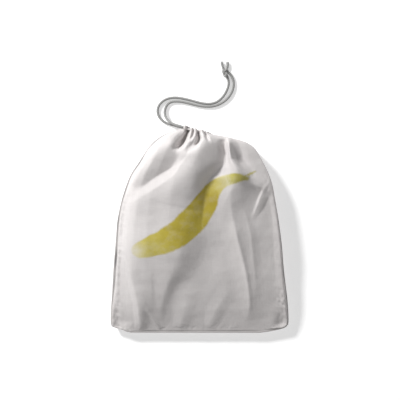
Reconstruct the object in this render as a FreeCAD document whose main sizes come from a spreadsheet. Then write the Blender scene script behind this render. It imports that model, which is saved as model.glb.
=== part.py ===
import FreeCAD, Part

import math
import os

import Sketcher
from FreeCAD import Placement, Rotation, Vector

# A drawstring shoe bag lying on its back with the mouth drawn shut. X runs across the bag, +Y runs from the
# bottom edge to the mouth, and Z is the height above the surface that it lies on. The origin is on that
# surface, under the middle of the bag.

doc = FreeCAD.newDocument("shoe_bag")
sheet = doc.addObject("Spreadsheet::Sheet", "sizes")

# Driving dimensions, in millimetres and degrees.
sizes = {
    # whole bag
    "bag_half": 148.0,  # half the width across the side seams, near the bottom
    "bag_length": 323.0,  # from the bottom edge to the middle of the channel's lower edge
    "foot_y": -168.95,
    # cloth and seams
    "cloth": 1.0,  # wall of both panels
    "seam_height": 12.0,  # height of the side and bottom seams
    "seam_wall": 2.4,  # width of the face where the panels are sewn together
    "floor_trim": 0.2,  # taken off the underside so that it lies flat
    "allowance_start": 5.0,  # where the folded seam allowance reaches its full thickness
    "allowance_width": 13.0,
    "allowance_thick": 1.6,
    "allowance_hold": 0.8,  # how far the allowance is sewn into the seam
    "bottom_allowance": 200.0,  # length of the allowance along the bottom edge
    # mouth, gathered on the cord
    "mouth_x": -4.0,  # middle of the line where the panels run into the channel
    "mouth_tilt": 17.0,  # the mouth leans towards the cord's exit
    "mouth_half": 21.5,
    "mouth_crown": 17.0,
    "mouth_drop": 11.0,
    "channel_height": 9.0,
    "opening_half": 11.0,
    "opening_crown": 3.6,
    # drawcord
    "cord_radius": 2.0,
    "cord_clearance": 0.4,
    "cord_level": 5.2,  # above the channel's lower edge
    "cord_bend": 7.0,  # radius of the cord's turn at the far end of the channel
    "cord_bend_x": 6.0,
    "cord_split": 6.0,  # from the channel's middle to where the sliding strands begin
    "cord_straight": 20.0,  # of each sliding strand, inside the channel
    "cord_gap": 0.5,  # between the sliding strands and the cord that stays in the channel
    "tail_length": 12.0,
    "tail_hold": 3.0,  # how far a tail runs into the knot
    "knot_x": 42.5,
    "knot_y": 257.5,
    "knot_half_x": 5.5,
    "knot_half_y": 8.0,
    "knot_half_z": 4.6,
    # sewing thread
    "thread_radius": 0.3,
    "stitch_length": 2.4,
    "stitch_pitch": 3.4,
    "stitch_inset": 1.4,  # from the channel's lower edge
}

# Cross-sections of the bag from the bottom edge to the mouth: place as a share of the length, half width as
# a share of the widest, height of the front above the seams, depth of the back below them, and the distance
# from the seam in to the flat underside.
columns = ("along", "half", "crown", "drop", "roll")
stations = {
    "foot": (0.0, 0.865, 2.0, 2.0, 16.0),
    "toe": (0.0075, 0.865, 3.0, 2.6, 16.0),
    "heel": (0.04, 1.0, 15.0, 12.2, 53.0),
    "low": (0.22, 0.985, 29.0, 12.2, 56.0),
    "middle": (0.47, 0.94, 38.0, 12.2, 55.0),
    "belly": (0.69, 0.86, 40.0, 12.2, 53.0),
    "chest": (0.84, 0.74, 37.0, 12.2, 50.0),
    "shoulder": (0.921, 0.622, 32.0, 12.2, 45.0),
    "neck": (0.961, 0.514, 24.0, 12.2, 36.0),
}
# Inside the gathered neck, where the cloth is bunched: the hollow closes in to a narrow throat, and runs out
# through the channel.
hollow_stations = {
    "collar": (0.951, 0.446, 20.0, 11.0, 40.0),
    "throat": (0.974, 0.061, 3.6, 3.6, 5.4),
    "vent": (1.02, 0.061, 3.6, 3.6, 5.4),
}
for station, values in (stations | hollow_stations).items():
    for column, value in zip(columns, values):
        sizes[f"{station}_{column}"] = value
for row, (alias, value) in enumerate(sizes.items(), start=1):
    sheet.set(f"A{row}", alias)
    sheet.set(f"B{row}", str(value))
    sheet.setAlias(f"B{row}", alias)
doc.recompute()

outer_stations = ("foot", "heel", "low", "middle", "belly", "chest", "shoulder", "neck")
inset_stations = outer_stations[1:-1]
inner_stations = ("toe", *inset_stations, *hollow_stations)
mouth_y = "(sizes.foot_y + sizes.bag_length)"


def size(alias):
    return float(sheet.get(alias))


def value(expression):
    """The number that an expression on the sheet stands for."""
    return float(sheet.evalExpression(expression))


def half_at(station):
    if station == "mouth":
        return "sizes.mouth_half"
    return f"sizes.{station}_half * sizes.bag_half"


def plane(body, role):
    return next(o for o in body.Origin.OriginFeatures if o.Role == role)


def bind(sketch, name, constraint, expression):
    """Adds a named constraint whose value is an expression on the sheet."""
    sketch.addConstraint(constraint)
    sketch.renameConstraint(sketch.ConstraintCount - 1, name)
    sketch.setExpression(f"Constraints.{name}", expression)


def across(body, name, along, shift="0", tilt="0"):
    """A sketch square to Y, or turned from that about Z, whose own axes are X and Z."""
    sketch = body.newObject("Sketcher::SketchObject", name)
    sketch.AttachmentSupport = [(plane(body, "XZ_Plane"), "")]
    sketch.MapMode = "FlatFace"
    sketch.AttachmentOffset = Placement(Vector(0, 0, 0), Rotation(Vector(0, -1, 0), 1))
    sketch.setExpression("AttachmentOffset.Base.x", shift)
    sketch.setExpression("AttachmentOffset.Base.z", f"-({along})")
    sketch.setExpression("AttachmentOffset.Rotation.Angle", f"{tilt} * 1 deg")
    return sketch


def girth(sketch, station, inset):
    """The section all round: an arc over the two side seams, and a flat underside that curves up to them."""
    half, crown, drop = half_at(station), f"sizes.{station}_crown", f"sizes.{station}_drop"
    flat = "sizes.mouth_half * 0.4" if station == "mouth" else f"{half} - sizes.{station}_roll"
    if inset:
        half, crown = f"{half} - sizes.seam_wall", f"{crown} - sizes.cloth"
        drop = f"{drop} - sizes.cloth - sizes.floor_trim"
    w, c, d, f = value(half), value(crown), value(drop), value(flat)
    rise, low = size("seam_height"), size("seam_height") - d
    over, under = (w * w + c * c) / (2 * c), ((w - f) ** 2 + d * d) / (2 * d)
    lean, dip = math.atan2(over - c, w), math.atan2(d - under, w - f)
    outward = Vector(0, 0, 1)
    top = Part.Circle(Vector(0, rise + c - over, 0), outward, over)
    left = Part.Circle(Vector(-f, low + under, 0), outward, under)
    right = Part.Circle(Vector(f, low + under, 0), outward, under)
    sketch.addGeometry(Part.ArcOfCircle(top, lean, math.pi - lean))
    sketch.addGeometry(Part.ArcOfCircle(left, math.pi - dip, 1.5 * math.pi))
    sketch.addGeometry(Part.LineSegment(Vector(-f, low, 0), Vector(f, low, 0)))
    sketch.addGeometry(Part.ArcOfCircle(right, -0.5 * math.pi, dip))
    for kind, ends in (("Coincident", (0, 2, 1, 1)), ("Tangent", (1, 2, 2, 1)), ("Tangent", (2, 2, 3, 1)),
                       ("Coincident", (3, 2, 0, 1)), ("Horizontal", (2,))):
        sketch.addConstraint(Sketcher.Constraint(kind, *ends))
    bind(sketch, "right", Sketcher.Constraint("DistanceX", -1, 1, 0, 1, w), half)
    bind(sketch, "left", Sketcher.Constraint("DistanceX", 0, 2, -1, 1, w), half)
    bind(sketch, "rise_right", Sketcher.Constraint("DistanceY", -1, 1, 0, 1, rise), "sizes.seam_height")
    bind(sketch, "rise_left", Sketcher.Constraint("DistanceY", -1, 1, 0, 2, rise), "sizes.seam_height")
    bind(sketch, "flat_right", Sketcher.Constraint("DistanceX", -1, 1, 2, 2, f), flat)
    bind(sketch, "flat_left", Sketcher.Constraint("DistanceX", 2, 1, -1, 1, f), flat)
    bind(sketch, "depth", Sketcher.Constraint("DistanceY", 2, 2, 0, 1, d), drop)
    curve = f"(({half})^2 + ({crown})^2) / (2 * ({crown}))"
    bind(sketch, "curve", Sketcher.Constraint("Radius", 0, over), curve)


def allowance(sketch, inner, side):
    """The section of a side seam's allowance: a folded strip that tapers to the seam."""
    start, width, half = size("allowance_start"), size("allowance_width"), size("allowance_thick") / 2
    x, rise = value(inner), size("seam_height")
    corners = [(0, 0), (-start, half), (-width, half), (-width, -half), (-start, -half)]
    places = [Vector(side * (x + dx), rise + dz, 0) for dx, dz in corners]
    count = len(places)
    for i, place in enumerate(places):
        sketch.addGeometry(Part.LineSegment(place, places[(i + 1) % count]))
    for i in range(count):
        sketch.addConstraint(Sketcher.Constraint("Coincident", i, 2, (i + 1) % count, 1))
    reach = (inner, f"{inner} - sizes.allowance_start", f"{inner} - sizes.allowance_width")
    for name, line, expression in zip(("tip", "start", "end"), (0, 1, 2), reach):
        ends = (-1, 1, line, 1) if side > 0 else (line, 1, -1, 1)
        bind(sketch, name, Sketcher.Constraint("DistanceX", *ends, abs(places[line].x)), expression)
    sketch.addConstraint(Sketcher.Constraint("Horizontal", 1))
    sketch.addConstraint(Sketcher.Constraint("Vertical", 2))
    sketch.addConstraint(Sketcher.Constraint("Horizontal", 3))
    sketch.addConstraint(Sketcher.Constraint("Vertical", 1, 1, 4, 1))
    heights = (("tip_rise", 0, "sizes.seam_height"),
               ("top", 1, "sizes.seam_height + sizes.allowance_thick / 2"),
               ("bottom", 4, "sizes.seam_height - sizes.allowance_thick / 2"))
    for name, line, expression in heights:
        bind(sketch, name, Sketcher.Constraint("DistanceY", -1, 1, line, 1, places[line].y), expression)


def loft(body, kind, name, sketches):
    """A loft through the sketches, straight from each to the next."""
    feature = body.newObject(f"PartDesign::{kind}Loft", name)
    feature.Profile = sketches[0]
    feature.Sections = sketches[1:]
    feature.Ruled = True
    doc.recompute()


def station_sketch(body, name, station):
    shift = "sizes.mouth_x" if station in ("throat", "vent") else "0"
    return across(body, name, f"sizes.{station}_along * sizes.bag_length + sizes.foot_y", shift)


def shell():
    """Both panels in one, closed along the bottom edge and open at the mouth."""
    body = doc.addObject("PartDesign::Body", "bag_shell")
    drawn = []
    for name in outer_stations:
        drawn.append(station_sketch(body, f"outer_{name}", name))
        girth(drawn[-1], name, False)
    drawn.append(across(body, "outer_mouth", mouth_y, "sizes.mouth_x", "sizes.mouth_tilt"))
    girth(drawn[-1], "mouth", False)
    loft(body, "Additive", "outside", drawn)
    solid = body.Shape.Volume
    drawn = []
    for name in inner_stations:
        drawn.append(station_sketch(body, f"inner_{name}", name))
        girth(drawn[-1], name, name in inset_stations)
    loft(body, "Subtractive", "inside", drawn)
    if not 0.01 * solid < body.Shape.Volume < 0.3 * solid:
        raise ValueError(f"the bag isn't a thin shell: {body.Shape.Volume:.0f} of {solid:.0f} mm3")
    return body


def box(name, length, width, height, x, y, z):
    """A box whose six sizes and places are expressions."""
    made = doc.addObject("Part::Box", name)
    names = ("Length", "Width", "Height", "Placement.Base.x", "Placement.Base.y", "Placement.Base.z")
    for key, expression in zip(names, (length, width, height, x, y, z)):
        made.setExpression(key, expression)
    return made


def boolean(kind, name, base, tool):
    made = doc.addObject(f"Part::{kind}", name)
    made.Base, made.Tool = base, tool
    return made


def at_mouth(feature, x="0", y="0", z="0", turn=None):
    """Puts a feature in the mouth's own frame, which is turned about Z by the mouth's tilt."""
    turn = turn or Rotation()
    lean = Rotation(Vector(0, 0, 1), -size("mouth_tilt"))
    feature.Placement = Placement(Vector(0, 0, 0), lean * turn)
    tilt = "(sizes.mouth_tilt * 1 deg)"
    feature.setExpression("Placement.Base.x", f"sizes.mouth_x + ({x}) * cos({tilt}) + ({y}) * sin({tilt})")
    feature.setExpression("Placement.Base.y", f"{mouth_y} - ({x}) * sin({tilt}) + ({y}) * cos({tilt})")
    feature.setExpression("Placement.Base.z", z)
    return feature


def hairpin(name, radius, reach):
    """A leg above the seams, a half turn and a leg below them, reaching left of the channel's middle."""
    middle = "sizes.cord_level"
    legs = []
    for side, sign in (("front", "+"), ("back", "-")):
        leg = doc.addObject("Part::Cylinder", f"{name}_{side}_leg")
        leg.setExpression("Radius", radius)
        leg.setExpression("Height", f"sizes.cord_bend_x + {reach}")
        height = f"sizes.seam_height {sign} sizes.cord_bend"
        legs.append(at_mouth(leg, f"-({reach})", middle, height, Rotation(Vector(0, 1, 0), 90)))
    turn = doc.addObject("Part::Torus", f"{name}_turn")
    turn.setExpression("Radius1", "sizes.cord_bend")
    turn.setExpression("Radius2", radius)
    turn.Angle3 = 180
    around = Rotation(Vector(1, 0, 0), 90) * Rotation(Vector(0, 0, 1), -90)
    at_mouth(turn, "sizes.cord_bend_x", middle, "sizes.seam_height", around)
    return boolean("Fuse", name, boolean("Fuse", f"{name}_upper", legs[0], turn), legs[1])


def channel(name, sign, crown, tunnel, slit):
    """Half of the gathered channel: the panel's turned hem, with the cord's tunnel and the slit it leaves by."""
    body = doc.addObject("PartDesign::Body", f"{name}_blank")
    sketch = across(body, f"{name}_section", "0")
    rise, w, hole, small = size("seam_height"), size("mouth_half"), size("opening_half"), size("opening_crown")
    drawn = []
    for half, height in ((w, value(crown)), (hole, small)):
        radius = (half * half + height * height) / (2 * height)
        start = math.atan2(radius - height, half)
        angles = (start, math.pi - start) if sign > 0 else (math.pi + start, 2 * math.pi - start)
        middle = Vector(0, rise + sign * (height - radius), 0)
        drawn.append(Part.ArcOfCircle(Part.Circle(middle, Vector(0, 0, 1), radius), *angles))
        sketch.addGeometry(drawn[-1])
    right, left = (1, 2) if sign > 0 else (2, 1)
    sketch.addGeometry(Part.LineSegment(Vector(hole, rise, 0), Vector(w, rise, 0)))
    sketch.addGeometry(Part.LineSegment(Vector(-w, rise, 0), Vector(-hole, rise, 0)))
    for line, end, arc, arc_end in ((2, 1, 1, right), (2, 2, 0, right), (3, 1, 0, left), (3, 2, 1, left)):
        sketch.addConstraint(Sketcher.Constraint("Coincident", line, end, arc, arc_end))
    sketch.addConstraint(Sketcher.Constraint("Horizontal", 2))
    sketch.addConstraint(Sketcher.Constraint("Horizontal", 3))
    bind(sketch, "rise_right", Sketcher.Constraint("DistanceY", -1, 1, 2, 2, rise), "sizes.seam_height")
    bind(sketch, "rise_left", Sketcher.Constraint("DistanceY", -1, 1, 3, 1, rise), "sizes.seam_height")
    bind(sketch, "right", Sketcher.Constraint("DistanceX", -1, 1, 2, 2, w), "sizes.mouth_half")
    bind(sketch, "left", Sketcher.Constraint("DistanceX", 3, 1, -1, 1, w), "sizes.mouth_half")
    bind(sketch, "hole_right", Sketcher.Constraint("DistanceX", -1, 1, 2, 1, hole), "sizes.opening_half")
    bind(sketch, "hole_left", Sketcher.Constraint("DistanceX", 3, 2, -1, 1, hole), "sizes.opening_half")
    for arc, half, high in ((0, "sizes.mouth_half", crown), (1, "sizes.opening_half", "sizes.opening_crown")):
        curve = f"(({half})^2 + ({high})^2) / (2 * ({high}))"
        bind(sketch, f"curve_{arc}", Sketcher.Constraint("Radius", arc, drawn[arc].Radius), curve)
    pad = body.newObject("PartDesign::Pad", f"{name}_pad")
    pad.Profile = sketch
    pad.Reversed = True
    pad.setExpression("Length", "sizes.channel_height")
    at_mouth(body)
    return boolean("Cut", name, boolean("Cut", f"{name}_bored", body, tunnel), slit)


def rounded(points):
    """Straight runs joined by tangent arcs, each as large as its two runs allow, and the smallest radius."""
    edges, radii, last = [], [], points[0]
    for before, corner, after in zip(points, points[1:], points[2:]):
        into, out = (corner - before), (after - corner)
        shorter = min(into.Length, out.Length)
        into.normalize()
        out.normalize()
        turn = into.getAngle(out)
        cut = 0.45 * shorter
        radii.append(cut / math.tan(turn / 2))
        start, end = corner - into * cut, corner + out * cut
        inward = (out - into).normalize()
        middle = corner + inward * (radii[-1] / math.cos(turn / 2) - radii[-1])
        edges += [Part.LineSegment(last, start).toShape(), Part.Arc(start, middle, end).toShape()]
        last = end
    edges.append(Part.LineSegment(last, points[-1]).toShape())
    return Part.Wire(edges), radii


def cord_tube(name, points):
    """A cord along its route, as one swept solid."""
    path, radii = rounded(points)
    radius = size("cord_radius")
    ring = Part.Circle(points[0], points[1] - points[0], radius).toShape()
    solid = path.makePipeShell([Part.Wire(ring)], True, True)
    wanted = math.pi * radius**2 * path.Length
    print(f"{name}: {path.Length:.1f} mm long, volume {solid.Volume / wanted:.4f} of section times length")
    print(f"  radii {' '.join(f'{r:.0f}' for r in radii)}")
    if abs(solid.Volume / wanted - 1) > 0.01:
        raise ValueError(f"{name}'s tube doesn't have the volume of its route")
    made = doc.addObject("Part::Feature", name)
    made.Shape = solid
    return made


def mouth_point(x, y, z):
    """A point given in the mouth's frame, in the bag's frame."""
    lean = Rotation(Vector(0, 0, 1), -size("mouth_tilt"))
    return Vector(size("mouth_x"), value(mouth_y), 0) + lean.multVec(Vector(x, y, z))


def strand(name, leg, free):
    """A free strand: a straight end in the channel's leg, then the route that it lies in."""
    level, height = size("cord_level"), size("seam_height") + leg * size("cord_bend")
    inner = -size("cord_split") - size("cord_gap")
    outer = inner - size("cord_straight")
    start = [mouth_point(inner, level, height), mouth_point(outer, level, height)]
    return cord_tube(name, start + [Vector(*p) for p in free])


def stitching(name, sign, crown):
    """A row of stitches, each a short length of thread half sunk in the channel's outer face."""
    half, height = size("mouth_half"), value(crown)
    radius = (half * half + height * height) / (2 * height)
    thread, long = size("thread_radius"), size("stitch_length")
    middle = Vector(0, 0, size("seam_height") + sign * (height - radius))
    reach = math.asin((half - long) / radius)
    count = int(2 * reach * radius / size("stitch_pitch"))
    rows = []
    for i in range(count + 1):
        angle = -reach + 2 * reach * i / count
        along = Vector(math.cos(angle), 0, -sign * math.sin(angle))
        place = middle + Vector(math.sin(angle), 0, sign * math.cos(angle)) * radius
        place.y = size("stitch_inset")
        rows.append(Part.makeCylinder(thread, long, place - along * long / 2, along))
    made = doc.addObject("Part::Feature", name)
    made.Shape = Part.makeCompound(rows)
    lean = Rotation(Vector(0, 0, 1), -size("mouth_tilt"))
    made.Placement = Placement(Vector(size("mouth_x"), value(mouth_y), 0), lean)
    return made


nodes = {}

# The two panels meet at the height of the side seams.
bag = shell()
width, length = "2 * sizes.bag_half + 20", "sizes.bag_length + 40"
place = ("-sizes.bag_half - 10", "sizes.foot_y - 10")
above = box("above_seams", width, length, "100", *place, "sizes.seam_height")
below = box("below_seams", width, length, "sizes.seam_height", *place, "0")
nodes["front_panel"] = boolean("Common", "front_panel", bag, above)
nodes["back_panel"] = boolean("Common", "back_panel", bag, below)

# Seam allowances, folded flat inside the bag.
for side, name in ((-1, "left_seam_allowance"), (1, "right_seam_allowance")):
    strip = doc.addObject("PartDesign::Body", name)
    drawn = []
    for station in inset_stations:
        drawn.append(station_sketch(strip, f"{name}_{station}", station))
        inner = f"{half_at(station)} - sizes.seam_wall + sizes.allowance_hold"
        allowance(drawn[-1], inner, side)
    loft(strip, "Additive", f"{name}_loft", drawn)
    nodes[name] = strip
hem = doc.addObject("PartDesign::Body", "bottom_seam_allowance")
hem_sketch = hem.newObject("Sketcher::SketchObject", "bottom_allowance_section")
hem_sketch.AttachmentSupport = [(plane(hem, "YZ_Plane"), "")]
hem_sketch.MapMode = "FlatFace"
toe = "-sizes.foot_y - sizes.toe_along * sizes.bag_length"
allowance(hem_sketch, f"{toe} + sizes.allowance_hold", -1)
hem_pad = hem.newObject("PartDesign::Pad", "bottom_allowance_pad")
hem_pad.Profile = hem_sketch
hem_pad.Midplane = True
hem_pad.setExpression("Length", "sizes.bottom_allowance")
nodes["bottom_seam_allowance"] = hem

# Channel with the cord's tunnel, and the slit at its left end where the cord comes out.
bore = hairpin("tunnel", "sizes.cord_radius + sizes.cord_clearance", "(sizes.mouth_half + 10)")
slit = doc.addObject("Part::Box", "cord_slit")
slit.setExpression("Length", "15")
slit.setExpression("Width", "2 * (sizes.cord_radius + sizes.cord_clearance)")
slit.setExpression("Height", "2 * sizes.cord_bend")
at_mouth(slit, "-sizes.mouth_half - 9", "sizes.cord_level - sizes.cord_radius - sizes.cord_clearance",
         "sizes.seam_height - sizes.cord_bend")
nodes["front_channel_hem"] = channel("front_channel_hem", 1, "sizes.mouth_crown", bore, slit)
nodes["back_channel_hem"] = channel("back_channel_hem", -1, "sizes.mouth_drop", bore, slit)
nodes["front_channel_stitching"] = stitching("front_channel_stitching", 1, "sizes.mouth_crown")
nodes["back_channel_stitching"] = stitching("back_channel_stitching", -1, "sizes.mouth_drop")

# Drawcord: the turn that stays in the channel, two free strands, and the knot that joins them.
nodes["drawcord_in_channel"] = hairpin("drawcord_in_channel", "sizes.cord_radius", "sizes.cord_split")
lie = size("cord_radius") + 0.1
nodes["drawcord_front_strand"] = strand("drawcord_front_strand", 1, [
    (-46.5, 172.5, 14.0), (-57.0, 183.5, 6.5), (-57.8, 198.0, lie), (-50.0, 209.0, lie),
    (-35.5, 210.5, lie), (-20.0, 207.5, lie), (-4.0, 203.2, lie), (12.0, 200.8, lie), (27.0, 202.4, lie),
    (39.8, 208.6, lie), (49.6, 218.0, lie), (55.8, 230.0, lie), (56.8, 243.0, lie), (53.0, 253.6, lie),
    (46.2, 258.6, 4.2)])
nodes["drawcord_back_strand"] = strand("drawcord_back_strand", -1, [
    (-47.5, 171.5, lie), (-61.5, 177.0, lie), (-69.5, 188.5, lie), (-69.0, 201.5, lie), (-60.5, 211.5, lie),
    (-47.5, 216.5, lie), (-33.0, 216.2, lie), (-15.0, 212.0, lie), (3.0, 206.9, lie), (18.4, 205.4, lie),
    (31.4, 210.0, lie), (41.2, 220.4, lie), (47.4, 233.0, lie), (48.6, 244.0, lie), (45.0, 252.6, 3.8)])
knot = doc.addObject("Part::Ellipsoid", "end_knot")
for key, cell in (("Radius1", "knot_half_z"), ("Radius2", "knot_half_x"), ("Radius3", "knot_half_y")):
    knot.setExpression(key, f"sizes.{cell}")
for key, expression in (("x", "sizes.knot_x"), ("y", "sizes.knot_y"), ("z", "sizes.knot_half_z")):
    knot.setExpression(f"Placement.Base.{key}", expression)
nodes["end_knot"] = knot
for name, lean, side in (("front_cord_tail", -8.0, 2.3), ("back_cord_tail", 16.0, -2.3)):
    tail = doc.addObject("Part::Cylinder", name)
    tail.setExpression("Radius", "sizes.cord_radius")
    tail.setExpression("Height", "sizes.tail_length")
    tail.Placement = Placement(Vector(0, 0, 0), Rotation(Vector(0, 0, 1), lean) * Rotation(Vector(1, 0, 0), -90))
    tail.setExpression("Placement.Base.x", f"sizes.knot_x + {side}")
    tail.setExpression("Placement.Base.y", "sizes.knot_y + sizes.knot_half_y - sizes.tail_hold")
    tail.setExpression("Placement.Base.z", "sizes.cord_radius + 0.1")
    nodes[name] = tail

doc.recompute()
os.makedirs("parts", exist_ok=True)
for feature in doc.Objects:
    if set(feature.State) & {"Invalid", "Error"}:
        raise ValueError(f"{feature.Name} failed: {feature.State}")
for name, node in nodes.items():
    node.Label = name
    if node.Shape.isNull() or not node.Shape.isValid() or not node.Shape.Solids:
        raise ValueError(f"{name} has no valid solid")
    node.Shape.exportStep(f"parts/{name}.step")
    limits = node.Shape.optimalBoundingBox(False)
    print(f"{name}: {len(node.Shape.Solids)} solids, {node.Shape.Volume:.0f} mm3, "
          f"z {limits.ZMin:.2f} to {limits.ZMax:.2f}")
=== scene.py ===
import math
import bpy
import mathutils
import numpy as np
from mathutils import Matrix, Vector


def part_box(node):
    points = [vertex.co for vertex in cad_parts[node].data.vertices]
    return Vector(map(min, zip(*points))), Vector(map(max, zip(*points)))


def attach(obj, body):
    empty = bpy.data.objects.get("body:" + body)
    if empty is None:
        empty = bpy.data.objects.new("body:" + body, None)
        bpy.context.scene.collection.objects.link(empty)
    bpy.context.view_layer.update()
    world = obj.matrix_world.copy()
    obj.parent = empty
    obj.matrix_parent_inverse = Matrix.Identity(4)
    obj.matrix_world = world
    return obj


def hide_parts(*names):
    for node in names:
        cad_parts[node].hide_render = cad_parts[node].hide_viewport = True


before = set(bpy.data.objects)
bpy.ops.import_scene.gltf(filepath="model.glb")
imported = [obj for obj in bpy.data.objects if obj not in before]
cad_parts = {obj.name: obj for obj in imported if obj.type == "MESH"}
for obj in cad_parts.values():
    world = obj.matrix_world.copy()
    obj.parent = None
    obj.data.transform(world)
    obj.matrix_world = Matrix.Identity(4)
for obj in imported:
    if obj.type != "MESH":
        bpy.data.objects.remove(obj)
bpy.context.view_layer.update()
millimetre = 0.001
rng = np.random.default_rng(7)


def smoothCurve(u, points, blur=0.02):
    # straight lines through the points, averaged over a short window: mean of interp(u + o)
    points = np.asarray(points, float)
    offsets = np.linspace(-1, 1, 9) * blur
    total = sum(np.interp(u + o, points[:, 0], points[:, 1]) for o in offsets)
    return total / len(offsets)


def smoothPath(points, count):
    # Catmull-Rom curve through the points, sampled evenly in its own parameter
    p = np.asarray(points, float)
    p = np.vstack([2 * p[0] - p[1], p, 2 * p[-1] - p[-2]])
    u = np.linspace(0, len(p) - 3 - 1e-9, count)
    i = u.astype(int)
    f = (u - i)[:, None]
    a, b, c, d = p[i], p[i + 1], p[i + 2], p[i + 3]
    return 0.5 * (2 * b + (c - a) * f + (2 * a - 5 * b + 4 * c - d) * f**2 + (3 * b - a - 3 * c + d) * f**3)


def ease(x):
    # 3x^2 - 2x^3 between 0 and 1
    x = np.clip(x, 0, 1)
    return x * x * (3 - 2 * x)


def ripple(x, y, length, seed, waves=14):
    # sum of sin(k.x + phase) over random directions, with wavelengths about the given length
    r = np.random.default_rng(seed)
    total = np.zeros_like(x)
    draws = (r.uniform(0, math.pi, waves), r.uniform(0.7, 1.5, waves), r.uniform(0, 6.3, waves))
    for angle, stretch, phase in zip(*draws):
        k = 2 * math.pi / (length * stretch)
        total += np.sin(k * (x * math.cos(angle) + y * math.sin(angle)) + phase)
    return total / math.sqrt(waves)


def runAlong(line):
    # distance along the line at each of its points: the running sum of its steps' lengths
    return np.concatenate([[0], np.cumsum(np.linalg.norm(np.diff(line, axis=0), axis=1))])


def pointsAt(line, run, places):
    # the line's points at the given distances along it, by straight interpolation
    return np.stack([np.interp(places, run, line[:, i]) for i in range(line.shape[1])], axis=1)


def addPiece(name, points, faces, attributes):
    # one smooth mesh from points in millimetres, lists of corners and values per point
    mesh = bpy.data.meshes.new(name)
    mesh.from_pydata((points * millimetre).tolist(), [], faces)
    mesh.polygons.foreach_set("use_smooth", np.ones(len(mesh.polygons), bool))
    for key, values in attributes.items():
        values = np.ascontiguousarray(values, np.float32).ravel()
        mesh.attributes.new(key, "FLOAT", "POINT").data.foreach_set("value", values)
    mesh.update()
    piece = bpy.data.objects.new(name, mesh)
    bpy.context.scene.collection.objects.link(piece)
    return piece


def gridMesh(name, points, flip=False, attributes=None):
    # points is rows x columns x 3; each quad joins (i, j), (i, j + 1), (i + 1, j + 1) and (i + 1, j)
    rows, columns = points.shape[:2]
    index = np.arange(rows * columns).reshape(rows, columns)
    a, b, c, d = index[:-1, :-1], index[:-1, 1:], index[1:, 1:], index[1:, :-1]
    faces = np.stack([a, d, c, b] if flip else [a, b, c, d], axis=-1).reshape(-1, 4)
    return addPiece(name, points.reshape(-1, 3), faces.tolist(), attributes or {})


def thicken(piece, thickness):
    # a wall behind the surface: each point moved inwards along its normal by the thickness
    wall = piece.modifiers.new("wall", "SOLIDIFY")
    wall.thickness = thickness * millimetre
    wall.offset = -1.0
    wall.use_even_offset = False
    return piece


class Value:
    # wraps one socket, so that sums on sockets add Math nodes
    def __init__(self, paint, socket):
        self.paint, self.socket = paint, socket

    def math(self, operation, *others):
        values = [self, *others]
        return self.paint.node("ShaderNodeMath", {"operation": operation}, dict(enumerate(values)))

    def __add__(self, other):
        return self.math("ADD", other)

    def __radd__(self, other):
        return self.math("ADD", other)

    def __sub__(self, other):
        return self.math("SUBTRACT", other)

    def __rsub__(self, other):
        return self.paint.node("ShaderNodeMath", {"operation": "SUBTRACT"}, {0: other, 1: self})

    def __mul__(self, other):
        return self.math("MULTIPLY", other)

    def __rmul__(self, other):
        return self.math("MULTIPLY", other)

    def __truediv__(self, other):
        return self.math("DIVIDE", other)


class Paint:
    # builds one material; node() takes a type, its settings and its inputs, and returns its first output
    def __init__(self, name):
        self.material = bpy.data.materials.new(name)
        self.material.use_nodes = True
        self.tree = self.material.node_tree
        self.shader = self.tree.nodes["Principled BSDF"]

    def node(self, kind, settings=None, inputs=None, output=0):
        made = self.tree.nodes.new(kind)
        for key, value in (settings or {}).items():
            if key == "ramp":
                while len(made.color_ramp.elements) < len(value):
                    made.color_ramp.elements.new(0.5)
                for element, (place, colour) in zip(made.color_ramp.elements, value):
                    element.position, element.color = place, (*colour, 1)
            else:
                setattr(made, key, value)
        for key, value in (inputs or {}).items():
            self.put(made.inputs[key], value)
        return Value(self, made.outputs[output])

    def put(self, socket, value):
        if isinstance(value, Value):
            self.tree.links.new(value.socket, socket)
        elif socket.type == "RGBA" and isinstance(value, tuple) and len(value) == 3:
            socket.default_value = (*value, 1)
        else:
            socket.default_value = value

    def place(self):
        return self.node("ShaderNodeTexCoord", output="Object")

    def attribute(self, name):
        return self.node("ShaderNodeAttribute", {"attribute_name": name}, output="Fac")

    def split(self, vector):
        parts = self.node("ShaderNodeSeparateXYZ", inputs={0: vector})
        return [Value(self, s) for s in parts.socket.node.outputs]

    def scaled(self, vector, scale):
        return self.node("ShaderNodeMapping", {"vector_type": "POINT"}, {"Vector": vector, "Scale": scale})

    def noise(self, vector, scale, detail=3.0, roughness=0.55):
        inputs = {"Vector": vector, "Scale": scale, "Detail": detail, "Roughness": roughness}
        return self.node("ShaderNodeTexNoise", inputs=inputs)

    def step(self, value, low, high):
        settings = {"interpolation_type": "SMOOTHSTEP"}
        return self.node("ShaderNodeMapRange", settings, {0: value, 1: low, 2: high, 3: 0.0, 4: 1.0})

    def mix(self, factor, first, second, blend="MIX"):
        settings = {"data_type": "RGBA", "blend_type": blend}
        return self.node("ShaderNodeMix", settings, {"Factor": factor, 6: first, 7: second}, output=2)

    def bump(self, height, strength, distance, under=None):
        inputs = {"Height": height, "Strength": strength, "Distance": distance}
        if under:
            inputs["Normal"] = under
        return self.node("ShaderNodeBump", inputs=inputs)

    def finish(self, **sockets):
        for key, value in sockets.items():
            self.put(self.shader.inputs[key.replace("_", " ")], value)
        return self.material


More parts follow.
